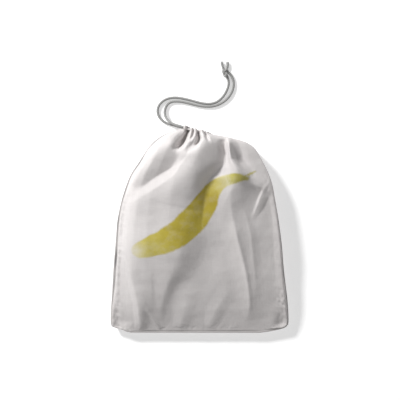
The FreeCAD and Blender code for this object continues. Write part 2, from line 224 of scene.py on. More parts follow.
def weave(paint, pitch):
    # plain weave: the product of two sine waves at right angles, plus uneven yarns along and across
    x, y, _ = paint.split(paint.place())
    turn = 2 * math.pi / (pitch * millimetre)
    along, across = (x * turn).math("SINE"), (y * turn).math("SINE")
    yarns = paint.noise(paint.scaled(paint.place(), (2200.0, 60.0, 60.0)), 1.0, 1.0)
    picks = paint.noise(paint.scaled(paint.place(), (60.0, 2200.0, 60.0)), 1.0, 1.0)
    return along * across * 0.5 + yarns * 0.8 + picks * 0.8, yarns + picks


def cottonCloth(name, colour, printed=False):
    # the colour, mottled and slubbed by noise, darkened by seamShade; bump from weave and creases
    paint = Paint(name)
    height, slub = weave(paint, cloth["yarn"])
    mottle = paint.noise(paint.place(), 22.0, 4.0)
    # the colour, mottled and slubbed by noise, darkened by painted shade along the seam's crease; bump from
    # weave and creases
    tone = paint.mix(paint.step(mottle, 0.3, 0.7), tuple(c * 0.965 for c in colour), colour)
    tone = paint.mix(paint.step(slub, 0.75, 1.25), paint.mix(0.06, tone, (0.0, 0.0, 0.0)), tone)
    # painted shade: the seam's crease darkened towards 0.12 of the cloth's colour
    tone = paint.mix(paint.attribute("seamShade") * 0.75, tone, tuple(c * 0.12 for c in colour))
    if printed:
        tone = watercolour(paint, tone)
    fine = paint.bump(height, 0.35, 0.00025)
    crumple = paint.noise(paint.place(), 95.0, 3.0, 0.6)
    normal = paint.bump(crumple, 0.2, 0.0006, fine)
    rough = 0.86 + 0.1 * mottle
    return paint.finish(Base_Color=tone, Roughness=rough, Normal=normal, Sheen_Weight=0.15,
                        Sheen_Roughness=0.6,
                        Specular_IOR_Level=0.2)


def watercolour(paint, ground):
    # a soft-edged wash: cover = step(edge + noise) * step(along); its colour pools and thins along the mark
    edge, along = paint.attribute("printEdge"), paint.attribute("printAlong")
    place = paint.place()
    uneven = (paint.noise(place, 60.0, 4.0, 0.6) - 0.5) * 5.0
    uneven = uneven + (paint.noise(place, 260.0, 3.0, 0.6) - 0.5) * 2.0
    inside = paint.step(edge + uneven, -1.6, 2.6) * paint.step(along, 0.0, 0.16)
    drift = along + (paint.noise(place, 35.0, 3.0) - 0.5) * 0.16
    wash = paint.node("ShaderNodeValToRGB", {"ramp": printMark["colours"]}, {0: drift})
    pooled = paint.step(paint.noise(place, 28.0, 5.0, 0.65), 0.35, 0.68)
    wash = paint.mix(pooled * 0.55, wash, printMark["pool"], "MULTIPLY")
    thin = 0.86 + 0.14 * paint.step(paint.noise(place, 75.0, 4.0, 0.6), 0.3, 0.6)
    return paint.mix(inside * thin, ground, wash)


def cordCotton(name, colour, dark):
    # lint that runs along each ply: noise stretched along the cord, in colour and in bump
    paint = Paint(name)
    around, along = paint.attribute("around"), paint.attribute("along")
    fibre = paint.node("ShaderNodeCombineXYZ", inputs={0: along * 1.4, 1: around * 9.0, 2: 0.0})
    lint = paint.noise(fibre, 1.0, 4.0, 0.7)
    tone = paint.mix(paint.step(lint, 0.3, 0.7), dark, colour)
    normal = paint.bump(lint, 0.5, 0.0003)
    return paint.finish(Base_Color=tone, Roughness=0.85 + lint * 0.1, Normal=normal, Sheen_Weight=0.3,
                        Sheen_Roughness=0.5,
                        Specular_IOR_Level=0.2)


studio = {
    "floor": (0.9, 0.9, 0.9),
    "floorGrain": (0.8, 0.8, 0.8),
    "floorHalf": 4000.0,
    "glow": 0.35,
    "eye": (0.8, 47.0, 1800.0),  # the camera's place
    "width": 662.0,  # of the view, at the floor
    "air": 0.3,
    # name: place, target, size, power
    "lights": {
        "key": ((-1.62, 1.72, 1.22), (0, 0.03, 0), 0.5, 86),
        "fill": ((1.6, -0.9, 2.4), (0, 0, 0), 2.2, 9),
    },
}


def addLight(name, place, target, size, power):
    # a round area light that faces its target: its -Z axis along target - place
    light = bpy.data.lights.new(name, "AREA")
    light.shape = "DISK"
    light.size = size
    light.energy = power
    lamp = bpy.data.objects.new(name, light)
    bpy.context.scene.collection.objects.link(lamp)
    aim = mathutils.Vector(target) - mathutils.Vector(place)
    lamp.location = place
    lamp.rotation_euler = aim.to_track_quat("-Z", "Y").to_euler()


def buildStudio():
    # camera angle = 2 atan(half the view's width / height), over a pale floor
    lens = bpy.data.cameras.new("overhead")
    camera = bpy.data.objects.new("overhead", lens)
    bpy.context.scene.collection.objects.link(camera)
    camera.location = [c * millimetre for c in studio["eye"]]
    lens.angle = 2 * math.atan(studio["width"] / 2 / studio["eye"][2])
    bpy.context.scene.camera = camera
    far = studio["floorHalf"]
    floor = gridMesh("floor", np.array([[[-far, -far, 0], [far, -far, 0]], [[-far, far, 0], [far, far, 0]]]))
    paint = Paint("paleFloor")
    tone = paint.mix(paint.noise(paint.place(), 3.0, 2.0) * 0.04, studio["floor"], studio["floorGrain"])
    paint.finish(Base_Color=tone, Roughness=0.9, Emission_Color=(1, 1, 1), Emission_Strength=studio["glow"])
    floor.data.materials.append(paint.material)
    for name, settings in studio["lights"].items():
        addLight(name, *settings)
    world = bpy.context.scene.world or bpy.data.worlds.new("air")
    bpy.context.scene.world = world
    world.use_nodes = True
    air = world.node_tree.nodes["Background"]
    air.inputs[0].default_value = (1, 1, 1, 1)
    air.inputs[1].default_value = studio["air"]
    bpy.context.scene.view_settings.view_transform = "Standard"
    print("studio done")


cord = {
    "diameter": 4.0,
    "plyRadius": 1.16,
    "plyOffset": 1.06,  # from the cord's own line to each ply's
    "pitch": 9.0,  # of the plies' twist
    "sides": 9,  # of each ply
    "step": 0.9,  # between the rings of a strand or the knot
    "tailStep": 0.5,
    "lie": 2.1,  # height of the cord's line on the floor
    "exit": (-0.0241, 0.1656),  # where the strands leave the mouth, in metres
    "fibres": 26,  # at each cut end
    "fibreRadius": 0.09,
    "colour": (0.46, 0.46, 0.45),
    "dark": (0.23, 0.23, 0.225),
}
lie = cord["lie"]
strandRoutes = {
    "front": [
        (-8.70, 160.92, 19.0), (-27.82, 166.77, 19.0), (-46.5, 172.5, 14.0), (-57.0, 183.5, 6.5),
        (-57.8, 198.0, lie), (-50.0, 209.0, lie), (-35.5, 210.5, lie), (-20.0, 207.5, lie),
        (-4.0, 203.2, lie), (12.0, 200.8, lie), (27.0, 202.4, lie), (39.8, 208.6, lie),
        (49.6, 218.0, lie), (55.8, 230.0, lie), (56.8, 243.0, lie), (53.0, 253.6, lie),
        (46.2, 258.6, 4.2)],
    "back": [
        (-8.70, 160.92, 5.0), (-27.82, 166.77, 5.0), (-47.5, 171.5, lie), (-61.5, 177.0, lie),
        (-69.5, 188.5, lie), (-69.0, 201.5, lie), (-60.5, 211.5, lie), (-47.5, 216.5, lie),
        (-33.0, 216.2, lie), (-15.0, 212.0, lie), (3.0, 206.9, lie), (18.4, 205.4, lie),
        (31.4, 210.0, lie), (41.2, 220.4, lie), (47.4, 233.0, lie), (48.6, 244.0, lie),
        (45.0, 252.6, 3.8)],
}


def readRoute(name, route):
    # the points along the route's own NURBS curve, in millimetres
    curve = bpy.data.curves.new(name, "CURVE")
    curve.dimensions = "3D"
    spline = curve.splines.new("NURBS")
    spline.points.add(len(route) - 1)
    for point, place in zip(spline.points, route):
        point.co = (*[c * millimetre for c in place], 1)
    spline.order_u = 3
    spline.use_endpoint_u = True
    spline.resolution_u = 24
    holder = bpy.data.objects.new(name, curve)
    bpy.context.scene.collection.objects.link(holder)
    mesh = bpy.data.meshes.new_from_object(holder)
    line = np.empty(len(mesh.vertices) * 3)
    mesh.vertices.foreach_get("co", line)
    bpy.data.objects.remove(holder)
    bpy.data.meshes.remove(mesh)
    return line.reshape(-1, 3) / millimetre


def evenly(line, step):
    # the same line with its points a fixed distance apart
    run = runAlong(line)
    places = np.linspace(0, run[-1], max(4, int(run[-1] / step)))
    return pointsAt(line, run, places), places


def frames(line, closed=False):
    # tangent, and two directions square to it: side = last side - tangent (last side . tangent),
    # over = tangent x side
    if closed:
        tangent = np.roll(line, -1, 0) - np.roll(line, 1, 0)
    else:
        tangent = np.gradient(line, axis=0)
    tangent /= np.linalg.norm(tangent, axis=1)[:, None]
    side = np.empty_like(line)
    side[0] = np.cross(tangent[0], [0.0, 0.3, 1.0])
    for i in range(1, len(line)):
        side[i] = side[i - 1] - tangent[i] * side[i - 1].dot(tangent[i])
        side[i] /= np.linalg.norm(side[i])
    side[0] /= np.linalg.norm(side[0])
    return tangent, side, np.cross(tangent, side)


def tube(line, radius, sides, closed=False):
    # ring of points around each point of the line: centre + r (cos a side + sin a over)
    _, side, over = frames(line, closed)
    a = np.linspace(0, 2 * math.pi, sides, endpoint=False)
    ring = np.cos(a)[None, :, None] * side[:, None] + np.sin(a)[None, :, None] * over[:, None]
    return line[:, None] + radius * ring


def joinTubes(name, tubes, scale=1.0):
    # several tubes in one mesh, with their own around and along attributes and closed ends
    vertices, faces, around, along, start = [], [], [], [], 0
    for points, closed in tubes:
        rows, sides = points.shape[:2]
        index = start + np.arange(rows * sides).reshape(rows, sides)
        wrapped = np.hstack([index, index[:, :1]])
        if closed:
            wrapped = np.vstack([wrapped, wrapped[:1]])
        a, b, c, d = wrapped[:-1, :-1], wrapped[:-1, 1:], wrapped[1:, 1:], wrapped[1:, :-1]
        faces += np.stack([a, b, c, d], axis=-1).reshape(-1, 4).tolist()
        if not closed:
            faces += [index[0][::-1].tolist(), index[-1].tolist()]
        vertices.append(points.reshape(-1, 3))
        turn = np.linspace(0, 1, sides, endpoint=False)
        around.append(np.tile(np.abs(turn * 2 - 1), rows))
        along.append(np.repeat(np.arange(rows) * scale, sides))
        start += rows * sides
    attributes = {"around": np.concatenate(around), "along": np.concatenate(along)}
    return addPiece(name, np.vstack(vertices), faces, attributes)


def plies(line, places, spread=None, closed=False):
    # three plies that wind round the cord's own line, one turn every pitch
    _, side, over = frames(line, closed)
    spread = np.ones(len(line)) if spread is None else spread
    turns = places / cord["pitch"]
    if closed:
        turns = places / places[-1] * round(places[-1] / cord["pitch"])
    made = []
    for i in range(3):
        a = 2 * math.pi * (turns + i / 3)
        turned = np.cos(a)[:, None] * side + np.sin(a)[:, None] * over
        offset = cord["plyOffset"] * spread[:, None] * turned
        made.append((tube(line + offset, cord["plyRadius"], cord["sides"], closed), closed))
    return made


def knotLine():
    # an overhand knot pulled tight: (sin a + 2 sin 2a, cos a - 2 cos 2a, -sin 3a), pressed to size
    low, high = [np.array(c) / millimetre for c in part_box("end_knot")]
    a = np.linspace(0, 2 * math.pi, 150, endpoint=False)
    shape = np.stack([np.sin(a) + 2 * np.sin(2 * a), np.cos(a) - 2 * np.cos(2 * a), -np.sin(3 * a)], axis=1)
    half = (high - low) / 2 - cord["diameter"] / 2
    return (low + high) / 2 + shape / np.abs(shape).max(axis=0) * half


def frayedTail(node, way):
    # a short bent end of cord whose plies spread, with fine loose fibres; way is +1 when it leans left
    low, high = [np.array(c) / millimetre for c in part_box(node)]
    near, far = (low[0] + 2.2, high[0] - 2.0) if way < 0 else (high[0] - 2.2, low[0] + 2.0)
    start, tip = np.array([near, low[1] + 0.5, 2.6]), np.array([far, high[1] - 0.6, 2.1])
    middle = (start + tip) / 2 + [0.5 if way < 0 else -0.4, 0, 0.6]
    path, places = evenly(smoothPath([start, middle, tip], 24), cord["tailStep"])
    tubes = plies(path, places, 1 + 0.35 * ease((places / places[-1] - 0.6) / 0.4))
    _, side, over = frames(path)
    ahead = (path[-1] - path[-3]) / np.linalg.norm(path[-1] - path[-3])
    for i in range(cord["fibres"]):
        a, out, reach = rng.uniform(0, 6.28), rng.uniform(0.2, 1.5), rng.uniform(1.5, 4.2)
        drift = np.cos(a) * side[-1] + np.sin(a) * over[-1]
        root = path[-1] + drift * out - ahead * 0.6
        bend = root + ahead * reach * 0.5 + drift * 0.3
        fibre = smoothPath([root, bend, root + ahead * reach * 0.8 + drift * rng.uniform(0.3, 1.5)], 7)
        fibre[:, 2] = np.maximum(fibre[:, 2], 0.15)
        fibre[:, 1] = np.minimum(fibre[:, 1], high[1] + 2.5)
        tubes.append((tube(fibre, cord["fibreRadius"], 4), False))
    return tubes


def buildCord():
    # two strands along their routes, the knot and the two tails, all of plies
    material = cordCotton("greyCordCotton", cord["colour"], cord["dark"])
    made = {}
    for key, node in (("front", "drawcord_front_strand"), ("back", "drawcord_back_strand")):
        path = readRoute(f"{key}Route", strandRoutes[key])
        line, places = evenly(path, cord["step"])
        piece = joinTubes(f"{key}_strand_plies", plies(line, places), cord["step"])
        piece.data.materials.append(material)
        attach(piece, "drawcord")
        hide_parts(node)
        made[key] = (piece, path, places[-1])
    line = knotLine()
    knot = joinTubes("overhand_knot", plies(line, runAlong(line), closed=True), cord["step"])
    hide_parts("end_knot")
    tails = []
    for key, node, way in (("front", "front_cord_tail", -1), ("back", "back_cord_tail", 1)):
        tails.append(joinTubes(f"{key}_frayed_tail", frayedTail(node, way), cord["tailStep"]))
        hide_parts(node)
    for piece in (knot, *tails):
        piece.data.materials.append(material)
        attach(piece, "drawcord")
    for key, pieces in (("front", [knot, tails[0]]), ("back", [tails[1]])):
        piece, path, length = made[key]
        height = strandRoutes[key][0][2] * millimetre
        length * millimetre
        (path * millimetre).tolist()
        print(f"{key} strand {length:.0f} mm")
    inside = bpy.data.objects["drawcord_in_channel"]
    inside.data.materials.clear()
    inside.data.materials.append(channelCord())


def channelCord():
    # the same cord where it is a plain rod: its lay is sin(a x + b z + c y), in colour and in bump
    paint = Paint("channelCordCotton")
    x, y, z = paint.split(paint.place())
    lay = (x * 2100.0 + z * 1500.0 + y * 900.0).math("SINE")
    lint = paint.noise(paint.place(), 900.0, 3.0)
    tone = paint.mix(paint.step(lay * 0.4 + lint, 0.2, 0.9), cord["dark"], cord["colour"])
    return paint.finish(Base_Color=tone, Roughness=0.88, Normal=paint.bump(lay * 0.5 + lint, 0.6, 0.0005),
                        Sheen_Weight=0.3)


cloth = {
    "colour": (0.635, 0.606, 0.598),
    "yarn": 0.62,
    "thickness": 0.6,
    "seamHeight": 12.0,
    "columns": 212,
    "rowStep": 1.8,
    "halfWidth": 140.0,  # turns the place across, -1 to 1, into a distance
    "foot": -171.5,  # y of the bottom edge
    "tall": 335.0,  # from there to the mouth
    "near": 26.0,  # the outline is looked up no farther inside than this
    "insetReach": 7.5,  # how soon the pull of the seam fades inside it
    "roll": 9.0,  # width of the back's edge that rolls out and under
    "part": (8.5, 9.0),  # at the mouth's left end the front lifts and the back drops by these
    "flat": (305.0, 381.0),
    # outline of the lying bag, from the bottom edge up each side to the mouth
    "leftSide": [
        (-112, -171.5), (-121, -169.5), (-128, -166.5), (-139, -163), (-145.5, -158), (-146, -137),
        (-144, -107), (-142, -68), (-138.8, -28), (-135.6, 11), (-132, 31), (-127.4, 50), (-121, 70),
        (-112.6, 90), (-99.5, 109.5), (-88, 128), (-79.5, 138.5), (-69, 148), (-55, 156.5), (-43, 161),
        (-33, 163.5), (-27, 162.5)],
    "rightSide": [
        (100, -171.5), (116, -169), (131, -166), (142, -162), (146.5, -154), (145.6, -127), (143.6, -107),
        (138.9, -68), (135.6, -28), (130.7, 11), (127.4, 31), (124, 50), (120.5, 70), (114, 90),
        (104.4, 109.5), (93, 129), (83, 138), (71, 143.5), (52, 148.5), (34, 152.5), (24, 153.5),
        (18.5, 150)],
    # height of the front over the seams, against the place from the bottom, 0, to the mouth, 1
    "crown": [
        (0, 0), (0.012, 0.5), (0.03, 2.1), (0.07, 6.0), (0.12, 10.8), (0.2, 16.4), (0.3, 21.5),
        (0.45, 27.5), (0.62, 31), (0.74, 30), (0.84, 27), (0.92, 23), (0.97, 19), (1, 17)],
    # share of that height, against the place from the left seam, -1, to the right, 1
    "across": [
        (-1, 0), (-0.985, 0.13), (-0.95, 0.3), (-0.88, 0.55), (-0.78, 0.78), (-0.62, 0.92), (-0.35, 1.0),
        (-0.05, 0.99), (0.3, 0.95), (0.55, 0.87), (0.78, 0.76), (0.9, 0.68), (0.96, 0.65), (0.985, 0.62),
        (1, 0.6)],
    # how far the seam lies inside the outline, and how dark the painted shade in its crease is, against
    # the place down the left, along the bottom and up the right
    "inset": [
        (0, 0), (0.04, 1.2), (0.12, 1.8), (0.2, 2.4), (0.24, 3.6), (0.28, 3.8), (0.31, 2.0), (0.34, 0.9),
        (0.385, 0.8), (0.41, 4.0), (0.5, 4.0), (0.6, 4.4), (0.63, 1.4), (0.72, 1.8), (0.8, 1.2),
        (0.86, 0.3), (1, 0)],
    "crease": [
        (0, 0), (0.04, 0.6), (0.15, 0.75), (0.22, 1), (0.285, 1), (0.31, 0.5), (0.36, 0.1), (0.39, 0.15),
        (0.42, 0.35), (0.5, 0.15), (0.6, 0.4), (0.64, 0.5), (0.8, 0.45), (0.86, 0.1), (1, 0)],
    "cordTop": 21.9,
}
printMark = {
    # middle line of the mark, with half its width at each point
    "line": [
        (-106, -33, 1), (-97, -34, 13), (-73, -26, 18), (-51, -17, 20.5), (-28.5, -2.5, 22.5),
        (-7.5, 18, 22.5), (8.5, 39, 19.5), (18, 57, 15.5), (30, 71.5, 11.5), (46, 79.5, 9.5),
        (62, 82.5, 7.5), (76, 82, 4)],
    "stalk": [(68, 83, 3), (78, 87.5, 2.2), (91, 93.5, 1.4)],
    "colours": [
        (0.0, (0.62, 0.58, 0.3)), (0.14, (0.55, 0.48, 0.12)), (0.3, (0.46, 0.38, 0.05)),
        (0.6, (0.46, 0.37, 0.045)), (0.7, (0.52, 0.45, 0.12)), (0.82, (0.6, 0.56, 0.33)),
        (0.88, (0.44, 0.4, 0.1)), (1.0, (0.46, 0.42, 0.11))],
    "pool": (0.80, 0.76, 0.55),
}
# Folds, as lines that run down or to the left: x, y, height, width of the shaded and of the sunny flank.
# Flanks: round exp(-q^2), facet 1 - q, bulge 1 - q^2, slope 1 - q^1.5, cusp (1 - q)^2, with q the
# distance over the width.
folds = [
    # the pinched pleat, and the tent it opens into
    ("facet", "round", [
        (46.5, 147, 3, 9, 2.6), (47.5, 139, 9, 14, 2.6), (49, 125, 10.5, 18, 3), (50.5, 114, 10, 19, 3.6),
        (56, 105, 9, 17, 6), (64, 96, 8, 16, 9), (73, 88, 6, 14, 11), (81, 81, 1, 12, 11)]),
    ("round", "cusp", [
        (62, 76, 1, 12, 16), (76, 75, 3, 13, 16), (92, 70.5, 4, 13, 15), (104, 66, 3, 12, 12),
        (110, 63, 1, 10, 10)]),
    ("round", "facet", [
        (51, 113, 1, 9, 6), (54, 100, 8, 14, 19), (57, 86, 12.5, 20, 31), (55, 71, 11, 30, 35),
        (46, 52, 6.5, 32, 33), (38, 32, 2.5, 30, 28), (34, 18, 0.5, 30, 28)]),
    ("round", "round", [
        (38, 141, -3, 4, 6), (40.5, 128, -4, 3.5, 6), (42.5, 115, -2, 3, 5), (42, 109, -0.3, 3, 5)]),
    ("round", "round", [
        (54, 142, -2, 10, 4), (58, 126, -5, 12, 5), (64, 111, -6, 12, 5), (73, 99, -4.5, 12, 5),
        (84, 91, -1.5, 11, 5), (92, 88, -0.3, 10, 5)]),
    # the broad roll down the middle, steepest at its right
    ("bulge", "round", [
        (15, 144, 7, 26, 18), (3, 121, 14, 37, 28), (-6, 100, 14.5, 29, 26), (-14, 80, 12.5, 24, 32),
        (-22, 58, 11, 30, 42), (-28, 32, 8, 34, 46), (-31, 14, 4, 34, 44), (-33, -4, 0.5, 34, 40)]),
    ("round", "round", [
        (-24, 34, 2, 34, 44), (-30, 4, 9.5, 34, 48), (-37, -30, 12, 32, 54), (-44, -60, 9, 24, 54),
        (-52, -82, 6.4, 15, 50), (-59, -104, 4.6, 11, 36), (-65, -130, 2.8, 9, 30),
        (-70, -150, 0.4, 9, 26)]),
    # the ridge that runs from the mouth to the left side, and the shoulder above it
    ("round", "facet", [
        (6, 141, 0.3, 20, 6), (-6, 131, 1, 22, 8), (-19, 117, 3.5, 24, 10), (-29, 104, 6.5, 28, 10),
        (-40, 88, 7.5, 32, 11), (-58, 74, 7.5, 34, 13), (-78, 61, 6.5, 30, 15), (-98, 49, 4.5, 26, 15),
        (-114, 37, 0.6, 22, 14)]),
    ("slope", "round", [
        (-27, 146, 3, 12, 10), (-37, 138, 9, 25, 14), (-57, 128, 13, 30, 18), (-83, 111, 12.5, 29, 20),
        (-104, 87, 8, 23, 16), (-115, 68, 2, 16, 12)]),
    # pleats that the cord gathers, the hollows between them and the slits
    ("round", "facet", [
        (-7, 168, 3, 3, 4), (-10, 154, 4, 4, 4), (-15, 144, 5, 5, 4), (-21, 134, 5, 6, 5),
        (-28, 122, 2.5, 9, 7), (-33, 113, 0.6, 9, 8)]),
    ("round", "facet", [
        (5, 165, 4, 3, 5), (6, 152, 5, 7, 5), (6, 143, 5, 14, 5), (-3, 132.5, 4.5, 16, 6),
        (-17, 123, 3, 16, 7), (-30, 111, 0.8, 14, 8)]),
    ("round", "round", [
        (-24, 160, -4, 5, 6), (-28, 148, -9, 7, 9), (-33, 137, -11, 6.5, 9), (-38, 131, -5, 5, 7)]),
    ("round", "round", [
        (-5, 143, -2, 4, 7), (-12, 134, -4.5, 5, 8), (-20, 128, -2.5, 5, 7), (-26, 124, -0.6, 5, 6)]),
    ("round", "round", [
        (-17, 173, -12, 3.0, 2.6), (-18.5, 161, -15, 3.0, 2.8), (-22.5, 151, -16, 3.4, 3.2),
        (-27.5, 141, -15, 3.8, 4), (-33, 134, -8, 4, 4.4), (-37, 131, -2, 4, 4)]),
    ("round", "round", [
        (-9.3, 170, -10, 1.6, 1.6), (-10, 158, -12, 1.7, 1.7), (-12.5, 149, -9, 1.6, 1.8),
        (-15, 144, -2, 1.6, 1.8)]),
    ("round", "round", [
        (-2, 168, -10, 1.9, 1.9), (-1.8, 155, -13, 2, 2), (-0.5, 146, -13, 2.1, 2.2),
        (-4, 137, -9, 2.2, 2.4), (-7, 132, -2, 2.2, 2.4)]),
    ("round", "round", [
        (8.6, 166, -10, 1.7, 1.7), (9.8, 156, -12, 1.7, 1.7), (13, 147, -6, 1.7, 2), (16, 142, -1, 1.7, 2)]),
    ("cusp", "cusp", [
        (16, 148, 0.8, 6, 6), (27, 138, 1.8, 5, 5), (35, 129, 2, 4, 4), (41, 114, 0.6, 4, 4)]),
    # right half
    ("cusp", "cusp", [
        (50, 60, 1, 40, 22), (52, 30, 4, 46, 26), (58, 0, 6, 46, 28), (62, -19, 6, 46, 28),
        (67, -38, 6, 44, 28), (72, -58, 6, 42, 28), (76, -77, 6, 42, 28), (79.5, -97, 5, 42, 28),
        (82, -124, 3.5, 36, 26), (79, -150, 0.5, 30, 22)]),
    ("cusp", "cusp", [
        (59, -4, 0.3, 6, 6), (63, -20, 0.8, 6, 6), (73, -58, 0.9, 6, 6), (80, -97, 0.8, 6, 6),
        (82, -130, 0.3, 6, 6)]),
    ("cusp", "cusp", [
        (74, 28, 0.5, 12, 12), (83, -9, 1.4, 14, 12), (88, -56, 1.4, 14, 12), (93, -105, 0.4, 12, 12)]),
    ("bulge", "cusp", [
        (107, 69, 0.6, 12, 4), (99, 52, 2.4, 12, 4), (93, 36, 1.9, 10, 4), (87, 22, 0.5, 6, 4)]),
    ("round", "facet", [
        (117, 62, 0.6, 5, 8), (123, 40, 2, 5, 8), (129.5, 10, 2.6, 4, 10), (135, -60, 2.4, 4, 12),
        (139, -120, 1.5, 4, 12), (140, -145, 0.4, 4, 12)]),
    # left half
    ("round", "round", [
        (-112, 58, 0.6, 18, 14), (-101, 30, 3, 26, 17), (-97, 0, 3.6, 28, 18), (-97, -30, 3.6, 28, 18),
        (-97, -60, 2.6, 24, 16), (-94, -90, 0.5, 20, 14)]),
    ("round", "facet", [
        (-134, -4, 0.6, 12, 4), (-125, -37, 3.2, 16, 5), (-116.5, -61, 4.4, 18, 6),
        (-107, -92, 5.4, 20, 8), (-100.5, -122, 5.4, 16, 9), (-98, -146, 4.4, 11, 9),
        (-97, -166, 2.5, 11, 9)]),
    ("round", "round", [
        (-117, 60, -1, 7, 6), (-125, 34, -4.5, 8, 7), (-128, 0, -5, 8, 7), (-130, -30, -4.5, 9, 8),
        (-129, -70, -4, 10, 9), (-126, -110, -3.4, 12, 10), (-121, -150, -2, 13, 11)]),
    ("round", "round", [(-139, -116, -0.5, 6, 5), (-137, -142, -2.4, 8, 7), (-135, -160, -2.6, 12, 10)]),
    ("cusp", "cusp", [(-86, -132, 0.6, 6, 5), (-76, -147, 2.6, 7, 5), (-65, -163, 2.4, 8, 5)]),
    ("round", "round", [(-82, -66, 0.3, 5, 14), (-80, -98, 1.4, 5, 14), (-80, -134, 0.3, 5, 14)]),
    ("round", "facet", [(-18, -98, 0.4, 14, 16), (-25, -136, 2.2, 14, 16), (-33, -160, 2.2, 12, 12)]),
    ("round", "facet", [
        (44, -104, 0.4, 12, 16), (31, -126, 1.5, 12, 16), (22, -146, 1.8, 10, 14), (17, -160, 1.6, 9, 10)]),
    ("round", "round", [(134, -134, -0.4, 5, 6), (135, -155, -3.6, 8, 9)]),
]


def flank(kind, q):
    # 1 at the fold's line and 0 at its foot; the hinge at the foot of the straight one is rounded
    if kind == "round":
        return np.exp(-q * q)
    left = 1 - q
    inside = np.minimum(q, 1)
    shapes = {"facet": 0.5 * (left + np.sqrt(left * left + 0.012)), "bulge": 1 - inside**2,
              "slope": 1 - inside**1.5, "cusp": np.clip(left, 0, 1) ** 2}
    return shapes[kind]


def foldHeight(x, y):
    # sum over the folds of height * flank(distance / width), faded beyond each end by exp(-(past / reach)^2)
    total = np.zeros_like(x)
    for shaded, sunny, points in folds:
        line = smoothPath(points, 30 * len(points))
        dx, dy = x.ravel()[:, None] - line[:, 0], y.ravel()[:, None] - line[:, 1]
        square = dx * dx + dy * dy
        near = square.argmin(axis=1)
        pick = np.arange(len(near))
        dx, dy = dx[pick, near], dy[pick, near]
        ahead = np.gradient(line[:, :2], axis=0)[near]
        cross = ahead[:, 0] * dy - ahead[:, 1] * dx
        away = np.sqrt(square[pick, near] + 0.6) - math.sqrt(0.6)
        height, shadedWidth, sunnyWidth = line[near, 2], line[near, 3], line[near, 4]
        ramp = np.where(cross > 0, flank(shaded, away / shadedWidth), flank(sunny, away / sunnyWidth))
        along = (dx * ahead[:, 0] + dy * ahead[:, 1]) / np.hypot(ahead[:, 0], ahead[:, 1])
        past = np.where(near == len(line) - 1, along, np.where(near == 0, -along, 0))
        reach = 4 + 0.5 * np.minimum(shadedWidth, 16)
        ramp = ramp * np.exp(-((np.maximum(past, 0) / reach) ** 2))
        total += (height * ramp).reshape(x.shape)
    return total


def markDistance(x, y, line):
    # how far inside the mark a point lies: the most, over its line, of half width less distance
    path = smoothPath(line, 90)
    dx, dy = x.ravel()[:, None] - path[:, 0], y.ravel()[:, None] - path[:, 1]
    inside = path[:, 2][None] - np.sqrt(dx * dx + dy * dy)
    best = inside.argmax(axis=1)
    return inside[np.arange(len(best)), best].reshape(x.shape), (best / 89).reshape(x.shape)


def outlineRows():
    # where each row of the cloth begins at the left side and ends at the right, and its place 0 to 1
    # place = 1.014 v^2 / (v + 0.014), which sets the rows closer towards the bottom edge
    left, right = smoothPath(cloth["leftSide"], 1200), smoothPath(cloth["rightSide"], 1200)
    run = runAlong(left)
    v = np.linspace(0, 1, int(run[-1] / cloth["rowStep"]))
    places = run[-1] * 1.014 * v * v / (v + 0.014)
    return pointsAt(left, run, places), pointsAt(right, run, places), places / places[-1]


def clothRows():
    # x and y of the cloth, place up t and place across s = 1.36 u - 0.36 u^3, closer towards the sides
    left, right, t = outlineRows()
    u = np.linspace(-1, 1, cloth["columns"])
    s = u * (1.36 - 0.36 * u * u)
    wide = (s + 1) / 2
    x = left[:, :1] + (right[:, :1] - left[:, :1]) * wide
    y = left[:, 1:] + (right[:, 1:] - left[:, 1:]) * wide
    return x, y, t[:, None] + 0 * x, s[None] + 0 * x


def outlineNear(x, y, s):
    # nearest point of the outline: distance inside it along its normal, that normal, and its place 0 to 1
    left, right = smoothPath(cloth["leftSide"], 420), smoothPath(cloth["rightSide"], 420)
    line = np.concatenate([left[::-1], np.linspace(left[0], right[0], 200)[1:-1], right])
    ahead = np.gradient(line, axis=0)
    normal = np.stack([ahead[:, 1], -ahead[:, 0]], axis=1) / np.linalg.norm(ahead, axis=1, keepdims=True)
    run = runAlong(line)
    limit = cloth["near"]
    close = ((1 - np.abs(s)) * cloth["halfWidth"] < limit) | (y < line[:, 1].min() + limit)
    away, nx, ny, place = limit + 0 * x, 0 * x, 0 * x, 0 * x
    dx, dy = x[close][:, None] - line[:, 0], y[close][:, None] - line[:, 1]
    near = (dx * dx + dy * dy).argmin(axis=1)
    pick = np.arange(len(near))
    nx[close], ny[close], place[close] = normal[near, 0], normal[near, 1], run[near] / run[-1]
    inside = -(dx[pick, near] * normal[near, 0] + dy[pick, near] * normal[near, 1])
    away[close] = np.clip(inside, 0, limit)
    return away, nx, ny, place


def arch(s):
    # the open mouth's section: (1 - |s|^2.4)^0.7
    return (1 - np.abs(s) ** 2.4) ** 0.7


def mouthLeft(s):
    # how near a place across is to the mouth's left end: exp(-((s + 1) / 0.3)^2)
    return np.exp(-(((s + 1) / 0.3) ** 2))


